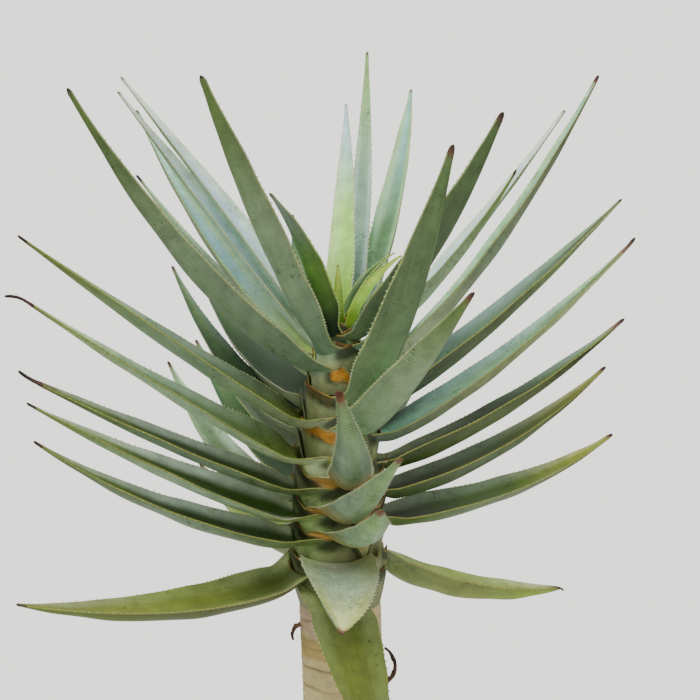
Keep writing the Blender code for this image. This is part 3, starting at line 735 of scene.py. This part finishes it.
def claspStem(leaf, spec, blade):
    # the clasping foot, given round the stem's axis, then eased into the blade
    rows, size, deep = leaf.rows, leaf.size, leaf.deep
    weight = smooth((rows - leaf.blendFrom) / (leaf.blendTo - leaf.blendFrom))[:, None]
    grown = np.clip((rows + deep) / deep, 0.0, 1.0)[:, None]
    clasp = spec.get("clasp", leafShape["clasp"])
    cuspTurn = spec.get("cuspAt", leafShape["cuspAt"]) * clasp
    cusp, dip = (v / 1000.0 for v in spec.get("rim", leafShape["rim"]))
    marks = (0.0, 0.4, 1.0)                  # bottom of the foot, peak of its rim, start of the blade
    rimTurn = np.interp(grown, marks, (clasp, cuspTurn, leafShape["footTurn"]))
    rimRise = np.interp(grown, marks, (-deep / size, cusp, dip))
    turn = leaf.across * np.radians(rimTurn)
    middle = leaf.footHeight + np.where(rows < 0.0, rows, 0.35 * rows)[:, None]
    above = np.maximum(0.35 * rows, 0.0)[:, None]
    rimZ = leaf.footHeight + size * rimRise + above
    sheathZ = middle + (rimZ - middle) * leaf.offMiddle ** 2.5
    inside = stemRadius(sheathZ) - 0.9 * stem["thinner"]
    inside = inside + leafShape["flare"] * (sheathZ - leaf.footHeight + deep)
    thin, thickLow, thickUp = leafShape["sheathThick"]
    bulk = thickLow + (thickUp * size) * smooth(rows / (0.5 * leaf.blendTo))[:, None]
    sheathThick = thin + (bulk - thin) * np.clip(1.0 - leaf.offMiddle ** 1.4, 0.0, 1.0)
    sheathR = np.where(leaf.isTop, inside, inside + sheathThick)
    sheathR = np.where(leaf.isRim, inside + 0.5 * sheathThick, sheathR)
    bladeX, bladeY = blade[..., 0] - stemAxis(blade[..., 2]), blade[..., 1]
    cosA, sinA = math.cos(leaf.azimuth), math.sin(leaf.azimuth)
    bladeTurn = np.arctan2(bladeY * cosA - bladeX * sinA, bladeX * cosA + bladeY * sinA)
    mixR = sheathR * (1 - weight) + np.hypot(bladeX, bladeY) * weight
    mixTurn = turn * (1 - weight) + bladeTurn * weight + leaf.azimuth
    mixZ = sheathZ * (1 - weight) + blade[..., 2] * weight
    points = np.stack([stemAxis(mixZ) + mixR * np.cos(mixTurn), mixR * np.sin(mixTurn), mixZ], -1)
    leaf.turn = np.degrees(turn)
    rimLine = np.interp(np.abs(leaf.turn), rimTurn[::-1, 0], (rimZ - above)[::-1, 0])
    leaf.drop = rimLine - sheathZ            # how far each point lies below the foot's rim
    return np.where((weight < 1.0)[..., None], points, blade)


def joinFaces(leaf):
    # strips along the leaf, a point at the tip and a cap under the foot, each with its finish:
    # 0 is skin, 1 horny margin and 2 dried tissue
    rows, colCount, last = leaf.rows, leaf.colCount, leaf.topCount - 1
    index = np.arange(len(rows) * colCount).reshape(len(rows), colCount)
    beside = np.roll(index, -1, 1)
    faces = np.stack([index[:-1], beside[:-1], beside[1:], index[1:]], -1).reshape(-1, 4).tolist()
    column = np.tile(leaf.columns, len(rows) - 1)
    distance = np.repeat(rows[:-1], colCount)
    isMargin = np.isin(column, [0, last - 1, last, last + 1, last + 2, colCount - 3, colCount - 2,
                                colCount - 1])
    isPaper = isMargin | np.isin(column, [1, last - 2, last + 3, colCount - 4])
    inFoot = (distance < 0.010 * leaf.size) & (distance > -0.62 * leaf.deep)
    inDead = distance > leaf.length - leaf.dry - 1e-6
    slots = np.where(inDead | (inFoot & isPaper), 2, np.where(isMargin, 1, 0)).tolist()

    tipIndex = len(rows) * colCount
    ring, base = index[-1].tolist(), index[0].tolist()
    faces += [[ring[k], ring[(k + 1) % colCount], tipIndex] for k in range(colCount)]
    for k in range(last):
        under = colCount - 2 - k
        faces.append([base[k + 1], base[k], base[under], base[under - 1]])
    faces.append([base[0], base[-1], base[colCount - 2]])
    faces.append([base[last], base[last + 2], base[last + 1]])
    slots += [2] * (len(faces) - len(slots))
    return faces, slots


def tintLeaf(leaf, spec):
    # a colour at every point for each of the three finishes
    look = looks[spec["look"]]
    deadStart, deadEnd = (linear(c) for c in spec.get("dead", look["tip"]))
    rows, size, deep, dry = leaf.rows, leaf.size, leaf.deep, leaf.dry
    offMiddle, drop = leaf.offMiddle, leaf.drop
    share = np.broadcast_to(leaf.along[:, None], offMiddle.shape)
    # the channel's floor is darker with painted shade, its flanks paler with bloom and painted light
    onFlank = smooth((offMiddle - 0.25) / 0.6)
    upperTint = mix(blend3(look["inner"], share), blend3(look["flank"], share), onFlank)
    # painted highlight: the back is lighter along its keel and darker towards the margins
    lowerTint = blend3(look["outer"], share) * (1.08 - 0.26 * smooth((offMiddle - 0.35) / 0.6))[..., None]
    # shade scales the whole leaf: its own tone together with painted light and shade from where it sits
    skin = np.where(leaf.isTop[:, None], upperTint, lowerTint) * spec.get("shade", 1.0)
    paintedFootLight = 1 - smooth((rows - 0.004) / 0.024)            # painted light: the channel's foot turns up to the light
    skin = skin * np.where(leaf.isTop, 1 + footTints["paintedFootLight"] * paintedFootLight[:, None], 1.0)[..., None]
    sheathShare = ((rows + deep) / (deep + 0.004))[:, None]
    band = blend3(footTints["sheath"], np.broadcast_to(sheathShare * 0.9, offMiddle.shape))
    skin = mix(band, skin, smooth(sheathShare * 1.5 - 0.5))

    # the back of the foot: painted shadow under its rim, painted light further down, and a painted highlight
    # along its ridge
    onBack = smooth((0.010 * size - rows) / (0.014 * size))[:, None] * ~leaf.isTop
    fromRidge = np.abs(leaf.turn)
    beside = smooth((fromRidge - 22.0) / 20.0) * onBack
    # painted light on the back of the foot below the painted shadow
    skin = skin * (1 + footTints["paintedLightBelow"] * smooth((drop - 0.013) / 0.005) * beside)[..., None]
    # painted highlight along the foot's ridge
    ridge = (1 - smooth((fromRidge - 25.0) / 25.0)) * onBack
    skin = skin * (1 + footTints["ridge"] * ridge)[..., None]
    # painted shadow right under the foot's rim
    dim = smooth(drop / 0.0015) * (1 - smooth((drop - 0.0085) / 0.006)) * beside
    skin = mix(skin, linear(footTints["paintedRimShadow"]), footTints["paintedRimShadowShare"] * dim)
    if "stain" in spec:
        colour, start, stop = spec["stain"]
        turn = leaf.turn
        spanned = smooth(2.2 * smooth((turn - start) / 26.0) * smooth((stop - turn) / 26.0))
        reach = 0.0085 + 0.0022 * np.sin(turn * 0.11) + 0.001 * np.sin(turn * 0.4)
        stained = spanned * smooth(drop / 0.001) * (1 - smooth((drop - reach) / 0.0028)) * onBack
        streaks = 0.95 + 0.28 * np.sin(drop * 2100 + turn * 0.09) * np.sin(turn * 0.23 + 1)
        skin = mix(skin, linear(colour) * streaks[..., None], footTints["stainShare"] * stained)
    browning = smooth((rows - (leaf.length - dry * 2.2)) / (dry * 1.3))[:, None]
    skin = mix(skin, deadStart, 0.7 * browning)

    nearTip = smooth((leaf.along - 0.55) / 0.4)[:, None]
    marginTint = mix(linear(look["margin"]), lowerTint, 0.35 * nearTip)
    deadTint = mix(deadStart, deadEnd, smooth((rows - (leaf.length - dry)) / dry)[:, None])
    rimShare = smooth((rows + 0.4 * deep) / (0.013 * size + 0.4 * deep))[:, None]
    rimTint = blend3(footTints["rim"], np.broadcast_to(rimShare, offMiddle.shape))
    inward = np.isin(leaf.columns, [2, leaf.topCount - 3, leaf.topCount + 3, leaf.colCount - 4])
    rimTint = rimTint * np.where(inward, footTints["rimInward"], 1.0)[:, None]
    onTip = (rows > leaf.length - 2.5 * dry)[:, None, None]
    dryTint = np.where(onTip, deadTint, rimTint)
    return [np.vstack([tint.reshape(-1, 3), deadEnd]) for tint in (skin, marginTint, dryTint)]


def growTeeth(leaf, points, rng):
    # one small pyramid at a time along both margins
    last, colCount = leaf.topCount - 1, leaf.colCount
    firstFree = points.shape[0] * colCount + 1
    toothPoints, toothFaces, toothGrain = [], [], []

    def onColumn(column, distance):
        return np.array([np.interp(distance, leaf.rows, points[:, column, k]) for k in range(3)])

    marginLines = ((last + 1, last, last + 2, last - 2), (colCount - 1, 0, colCount - 2, 2))
    for rim, upper, lower, within in marginLines:
        where = 0.012 * leaf.size
        while where < leaf.length - leaf.dry - 0.004:
            closest, widest = teeth["pitch"]
            pitch = closest + (widest - closest) * smooth(where / leaf.length / 0.55)
            grown = smooth((leaf.length - leaf.dry - where) / 0.05) * 0.45 + 0.55
            grown *= rng.uniform(0.8, 1.15)
            grown *= 0.55 + 0.45 * smooth((where - 0.01) / 0.03)
            outward = onColumn(rim, where) - onColumn(within, where)
            outward /= np.linalg.norm(outward)
            way = onColumn(rim, where + 0.002) - onColumn(rim, where - 0.002)
            way /= np.linalg.norm(way)
            centre = onColumn(rim, where) - outward * teeth["sunk"]
            wide = teeth["wide"] / 2 * grown
            over = (onColumn(upper, where) - onColumn(lower, where)) * 0.42
            peak = centre + outward * (teeth["high"] * grown + teeth["sunk"]) + way * teeth["lean"]
            s = firstFree + len(toothPoints)
            toothPoints += [centre - way * wide, centre + over, centre + way * wide, centre - over, peak]
            toothGrain += [[0.0, where, 0.0]] * 5
            toothFaces += [[s, s + 1, s + 4], [s + 1, s + 2, s + 4], [s + 2, s + 3, s + 4],
                           [s + 3, s, s + 4], [s, s + 3, s + 2, s + 1]]
            where += pitch * rng.uniform(0.85, 1.15)
    return toothPoints, toothFaces, toothGrain


def buildLeaf(name, spec, seed):
    rng = np.random.default_rng(seed)
    leaf = measureLeaf(spec)
    shapeSection(leaf, spec, rng)
    points = claspStem(leaf, spec, layBlade(leaf, spec))
    faces, slots = joinFaces(leaf)
    layers = tintLeaf(leaf, spec)
    toothPoints, toothFaces, toothGrain = growTeeth(leaf, points, rng)
    tip = fromFoot(leaf.at(np.array([leaf.length + 0.0004]))[0], leaf.footHeight, leaf.radius, leaf.azimuth,
                   leaf.facing)
    vertices = np.vstack([points.reshape(-1, 3), tip, toothPoints])
    grainAcross = leaf.out + np.where(leaf.isTop, 0.0, 0.1)          # the two faces differ in their grain
    grainAlong = np.broadcast_to(leaf.rows[:, None], leaf.out.shape)
    grain = np.stack([grainAcross, grainAlong, 0.0 * leaf.out], -1).reshape(-1, 3)
    grain = np.vstack([grain, [0.0, leaf.length, 0.0], toothGrain])

    mesh = bpy.data.meshes.new(name + "_fine")
    mesh.from_pydata(vertices.tolist(), [], faces + toothFaces)
    toothTint = linear(looks[spec["look"]]["tooth"])
    corners = [layers[slot][polygon] for polygon, slot in zip(faces, slots)]
    corners += [np.broadcast_to(toothTint, (len(polygon), 3)) for polygon in toothFaces]
    storeTint(mesh, np.vstack(corners), "CORNER")
    storeGrain(mesh, grain)
    for finish in (scuffedSkin if spec.get("scuffed") else leafSkin, hornyMargin, driedTissue):
        mesh.materials.append(finish)
    mesh.polygons.foreach_set("material_index", slots + [1] * len(toothFaces))
    mesh.polygons.foreach_set("use_smooth", [True] * len(faces) + [False] * len(toothFaces))
    mesh.update()
    piece = bpy.data.objects.new(name + "_fine", mesh)
    settle(piece, name)
    return piece


pieces = [buildLeaf(name, spec, 100 + i) for i, (name, spec) in enumerate(leaves.items())]
print("leaves built", len(pieces), "triangles",
      sum(sum(len(p.vertices) - 2 for p in o.data.polygons) for o in pieces))


# Shrivelled scraps of old leaf bases on the bare stem: curled strips with ragged edges

scraps = {
    "dry_scrap_right": {"height": 404, "azimuth": 352, "length": 42, "rise": (5, 150), "width": 12,
                        "bend": 0.8, "fullness": 2, "colours": ("#6a4a30", "#3a241a")},
    "dry_scrap_left": {"height": 458, "azimuth": 190, "length": 18, "rise": (0, -110), "width": 8,
                       "bend": 0.8, "fullness": 2, "colours": ("#8a6a4a", "#4a2e20")},
}

scrapShape = {"rows": 34, "across": 11, "thick": 0.0011, "sunk": 0.0008, "sharp": 50.0}


def buildScrap(name, spec, seed):
    rng = np.random.default_rng(seed)
    rowCount, acrossCount = scrapShape["rows"], scrapShape["across"]
    length, footHeight = spec["length"] / 1000.0, spec["height"] / 1000.0
    azimuth = math.radians(spec["azimuth"])
    radius = float(stemRadius(footHeight)) - scrapShape["sunk"]
    rows = np.linspace(0.0, length, rowCount)
    along = rows / length
    across = np.linspace(-1.0, 1.0, acrossCount)
    across = np.concatenate([across, across[::-1]])
    isTop = np.arange(2 * acrossCount) < acrossCount
    half = spec["width"] / 2000.0 * (1.0 - 0.97 * along ** spec["fullness"])
    ragged = 1.0 + 0.14 * np.sin(along * 31 + rng.uniform(0, 6))
    ragged = ragged + 0.08 * np.sin(along * 67 + rng.uniform(0, 6))
    half = (half * ragged)[:, None]
    here, forward, side, face = centreline(spec)(rows)
    up = 0.4 * half * np.abs(across) ** 1.6 + 0.0004 * np.sin(across * 9 + along[:, None] * 14)
    up = up - np.where(isTop, 0.0, scrapShape["thick"])
    local = here[:, None] + side[:, None] * (half * across)[..., None] + face[:, None] * up[..., None]
    points = fromFoot(local, footHeight, radius, azimuth, azimuth)
    index = np.arange(rowCount * 2 * acrossCount).reshape(rowCount, -1)
    beside = np.roll(index, -1, 1)
    faces = np.stack([index[:-1], beside[:-1], beside[1:], index[1:]], -1).reshape(-1, 4).tolist()
    faces.append(index[0][::-1].tolist())
    faces.append(index[-1].tolist())
    paler, darker = (linear(c) for c in spec["colours"])
    tint = mix(paler, darker, np.broadcast_to(smooth(along * 1.3)[:, None], up.shape))
    mesh = bpy.data.meshes.new(name + "_fine")
    mesh.from_pydata(points.reshape(-1, 3).tolist(), [], faces)
    storeTint(mesh, tint.reshape(-1, 3), "POINT")
    storeGrain(mesh, np.stack([half * across, np.broadcast_to(rows[:, None], up.shape), 0.0 * up], -1))
    mesh.materials.append(driedTissue)
    mesh.shade_smooth()
    mesh.set_sharp_from_angle(angle=math.radians(scrapShape["sharp"]))
    piece = bpy.data.objects.new(name + "_fine", mesh)
    settle(piece, name)


for i, (name, spec) in enumerate(scraps.items()):
    buildScrap(name, spec, 200 + i)
print("scraps built", len(scraps))


# Stem with its bark relief

barkColours = {
    "grey": "#c2b28c",        # near the ground
    "cream": "#f0e0a0",       # most of the stem
    "tan": "#d8be78",
    "rust": "#8c6238",        # in the ring scars
    "pink": "#e4c2a2",        # fresh skin right under the crown, on the left
    "yellow": "#bf9c3c",
    "shadedGreen": "#4b5230",       # under the clasping feet, darkened as painted shade for the gaps between them
    "creamFrom": (0.05, 0.3),       # height where grey starts to give way to cream, and over how much
    "yellowBand": (0.43, 0.449),
    "peelFrom": 0.452,
    "peelAzimuth": 215.0,
    "greenFrom": 0.478,
}


def cutRings(height, turn, radius, bare, rng):
    # ring scars, each a little tilted and wavy, with a lip above a groove
    scarTint = np.zeros_like(height)
    level = 0.03
    while level < 0.50:
        tilt = rng.uniform(0.0, 0.004)
        phase = rng.uniform(0, 2 * math.pi, 3)
        line = level + tilt * np.cos(turn - phase[0]) + 0.0007 * np.sin(5 * turn + phase[1])
        line = line + 0.0004 * np.sin(11 * turn + phase[2])
        off = height - line
        strength = rng.uniform(0.35, 1.0) * (0.5 + 0.5 * smooth(level / 0.3))
        broken = 0.65 + 0.35 * np.sin(turn * 2 + phase[1])
        radius = radius - stem["ringDepth"] * strength * np.exp(-(off / 0.0011) ** 2) * bare
        radius = radius + 0.6 * stem["ringDepth"] * strength * np.exp(-((off - 0.0026) / 0.0016) ** 2) * bare
        scarTint = np.maximum(scarTint, strength * broken * np.exp(-(off / 0.0012) ** 2))
        level += rng.uniform(*stem["ringPitch"])
    return radius, scarTint


def dentStem(height, turn, radius, bare, rng):
    # gentle lobes of the flare and shallow dents
    for waves, deepness in stem["lobes"]:
        phase = rng.uniform(0, 2 * math.pi)
        fade = np.exp(-height / 0.055) * smooth(height / 0.004 + 0.4)
        radius = radius + deepness * np.sin(waves * turn + phase) * fade
    for _ in range(stem["dents"]):
        z, a = rng.uniform(0.01, 0.49), rng.uniform(0, 2 * math.pi)
        wide, tall = rng.uniform(0.15, 0.5), rng.uniform(0.004, 0.02)
        away = np.angle(np.exp(1j * (turn - a))) / wide
        dent = np.exp(-away ** 2 - ((height - z) / tall) ** 2)
        radius = radius + rng.uniform(-0.0007, 0.0004) * dent * bare
    return radius


def raiseFlakes(height, turn, rng):
    # papery flakes: thin raised plates with an irregular edge
    plate = np.zeros_like(height)
    for _ in range(stem["flakes"]):
        z, a = rng.uniform(0.0, 0.49), rng.uniform(0, 2 * math.pi)
        wide, tall = rng.uniform(0.12, 0.45), rng.uniform(0.004, 0.014)
        away = np.angle(np.exp(1j * (turn - a))) / wide
        rag = 0.18 * np.sin(7 * turn + z * 900) + 0.12 * np.sin(13 * turn + z * 400)
        inside = smooth((1.0 + rag - away ** 2 - ((height - z) / tall) ** 2) / 0.22)
        plate = np.maximum(plate, inside * rng.uniform(0.4, 1.0))
    return plate


def tintStem(height, turn, plate, scarTint):
    colours = {key: linear(value) for key, value in barkColours.items() if isinstance(value, str)}
    creamLow, creamRun = barkColours["creamFrom"]
    tint = mix(colours["grey"], colours["cream"], smooth((height - creamLow) / creamRun))
    patch = smooth((np.sin(height * 61 + 2 * turn) + np.sin(height * 23 - 3 * turn + 1) + 0.4) / 1.6)
    tint = mix(tint, colours["tan"], 0.35 * patch)
    leftward = smooth(0.5 + 1.6 * np.cos(turn - math.radians(barkColours["peelAzimuth"])))
    peeled = smooth((height - barkColours["peelFrom"] - 0.004 * np.sin(turn * 9)) / 0.003)
    tint = mix(tint, colours["pink"], peeled * (0.25 + 0.6 * leftward))
    bandLow, bandHigh = barkColours["yellowBand"]
    band = smooth((height - bandLow) / 0.006) * (1 - smooth((height - bandHigh) / 0.004))
    tint = mix(tint, colours["yellow"], band * 0.6 * leftward)
    # under the clasping feet the stem turns dark olive: its own colour there, darkened as painted shade
    tint = mix(tint, colours["shadedGreen"], smooth((height - barkColours["greenFrom"]) / 0.014))
    tint = tint * (1 + 0.12 * plate[..., None])
    return mix(tint, colours["rust"], 0.8 * scarTint)


def buildStem():
    rng = np.random.default_rng(7)
    upperRows = stem["upperRows"]
    rows = np.concatenate([np.linspace(0.0, 0.50, stem["rows"] - upperRows),
                           np.linspace(0.502, 0.730, upperRows)])
    turns = np.linspace(0.0, 2 * math.pi, stem["sides"], endpoint=False)
    height, turn = np.meshgrid(rows, turns, indexing="ij")
    cover = smooth((height - stem["crownFoot"]) / 0.03)
    radius = np.maximum(stemRadius(height) - stem["thinner"] * cover, 0.001)
    bare = 1.0 - cover
    radius, scarTint = cutRings(height, turn, radius, bare, rng)
    radius = dentStem(height, turn, radius, bare, rng)
    plate = raiseFlakes(height, turn, rng)
    radius = radius + stem["flakeThick"] * plate * bare

    points = np.stack([stemAxis(height) + radius * np.cos(turn), radius * np.sin(turn), height], -1)
    index = np.arange(height.size).reshape(height.shape)
    right = np.roll(index, -1, 1)
    faces = np.stack([index[:-1], right[:-1], right[1:], index[1:]], -1).reshape(-1, 4).tolist()
    faces.append(index[0][::-1].tolist())
    faces.append(index[-1].tolist())
    mesh = bpy.data.meshes.new("trunk_bark")
    mesh.from_pydata(points.reshape(-1, 3).tolist(), [], faces)
    storeTint(mesh, tintStem(height, turn, plate, scarTint).reshape(-1, 3), "POINT")
    mesh.materials.append(paperyBark)
    mesh.shade_smooth()
    mesh.set_sharp_from_angle(angle=math.radians(60))
    piece = bpy.data.objects.new("trunk_bark", mesh)
    settle(piece, "trunk")
    return piece


trunkPiece = buildStem()
print("stem built, faces", len(trunkPiece.data.polygons))


# Floor, light and camera

studio = {
    "floorRadius": 0.9,
    "floorGrain": 60.0,
    "floorShade": (0.66, 0.7),
    "wall": "#dcdbd8",
    "wallStrength": 2.5,
    "ambientAbove": 1.1,
    "ambientBelow": 0.3,
    "key": {"power": 32.0, "size": 1.6, "at": (-0.5, -0.5, 2.3), "towards": (0.0, 0.0, 0.7)},
    "fill": {"power": 4.0, "size": 1.4, "at": (1.0, -1.6, 1.0), "towards": (0.0, 0.0, 0.65)},
}

floorMaterial, floorTree, floorShader = newMaterial("matt_studio_floor")   # pale and dull
floorNoise = addNode(floorTree, "ShaderNodeTexNoise", None, {"Scale": studio["floorGrain"], "Detail": 3.0})
floorLevel = addNode(floorTree, "ShaderNodeMapRange", None, {
    "Value": floorNoise.outputs["Fac"], "To Min": studio["floorShade"][0], "To Max": studio["floorShade"][1]})
floorTree.links.new(floorLevel.outputs["Result"], floorShader.inputs["Base Color"])
floorShader.inputs["Roughness"].default_value = 0.9
floorMesh = bpy.data.meshes.new("floor")
floorRing = [(studio["floorRadius"] * math.cos(a), studio["floorRadius"] * math.sin(a), 0.0)
             for a in np.linspace(0.0, 2 * math.pi, 96, endpoint=False)]
floorMesh.from_pydata(floorRing, [], [list(range(96))])
floorMesh.materials.append(floorMaterial)
floor = bpy.data.objects.new("floor", floorMesh)
bpy.context.scene.collection.objects.link(floor)


def addLight(name):
    # a soft round area light that points at its target
    spec = studio[name]
    light = bpy.data.lights.new(name, "AREA")
    light.energy = spec["power"]
    light.shape = "DISK"
    light.size = spec["size"]
    made = bpy.data.objects.new(name, light)
    made.location = spec["at"]
    away = np.array(spec["at"]) - np.array(spec["towards"])
    flatAway = math.hypot(away[0], away[1])
    made.rotation_euler = (math.atan2(flatAway, away[2]), 0.0, math.atan2(away[0], -away[1]))
    bpy.context.scene.collection.objects.link(made)


addLight("key")
addLight("fill")

world = bpy.data.worlds.new("pale_room")
world.use_nodes = True
sky = world.node_tree.nodes["Background"]
sky.inputs["Color"].default_value = (*linear(studio["wall"]), 1.0)
heading = addNode(world.node_tree, "ShaderNodeTexCoord")
upward = addNode(world.node_tree, "ShaderNodeSeparateXYZ", None, {0: heading.outputs["Generated"]})
ambient = addNode(world.node_tree, "ShaderNodeMapRange", None, {
    "Value": upward.outputs["Z"], "From Min": -0.6, "From Max": 0.8,
    "To Min": studio["ambientBelow"], "To Max": studio["ambientAbove"]})
seen = addNode(world.node_tree, "ShaderNodeLightPath")
brightness = addNode(world.node_tree, "ShaderNodeMapRange", None, {
    "Value": seen.outputs["Is Camera Ray"], "To Min": ambient.outputs["Result"],
    "To Max": studio["wallStrength"]})   # the wall looks brighter than the light it gives
world.node_tree.links.new(brightness.outputs["Result"], sky.inputs["Strength"])
bpy.context.scene.world = world

view = {"distance": 1.15, "tilt": 7.0, "aim": (0.010, 0.0, 0.70), "lens": 68.8}
cameraData = bpy.data.cameras.new("camera")
cameraData.lens = view["lens"]
cameraData.sensor_width = 36.0
camera = bpy.data.objects.new("camera", cameraData)
tilt = math.radians(view["tilt"])
camera.location = (view["aim"][0], view["aim"][1] - view["distance"] * math.cos(tilt),
                   view["aim"][2] + view["distance"] * math.sin(tilt))
camera.rotation_euler = (math.radians(90.0) - tilt, 0.0, 0.0)
bpy.context.scene.collection.objects.link(camera)
bpy.context.scene.camera = camera
print("studio set")
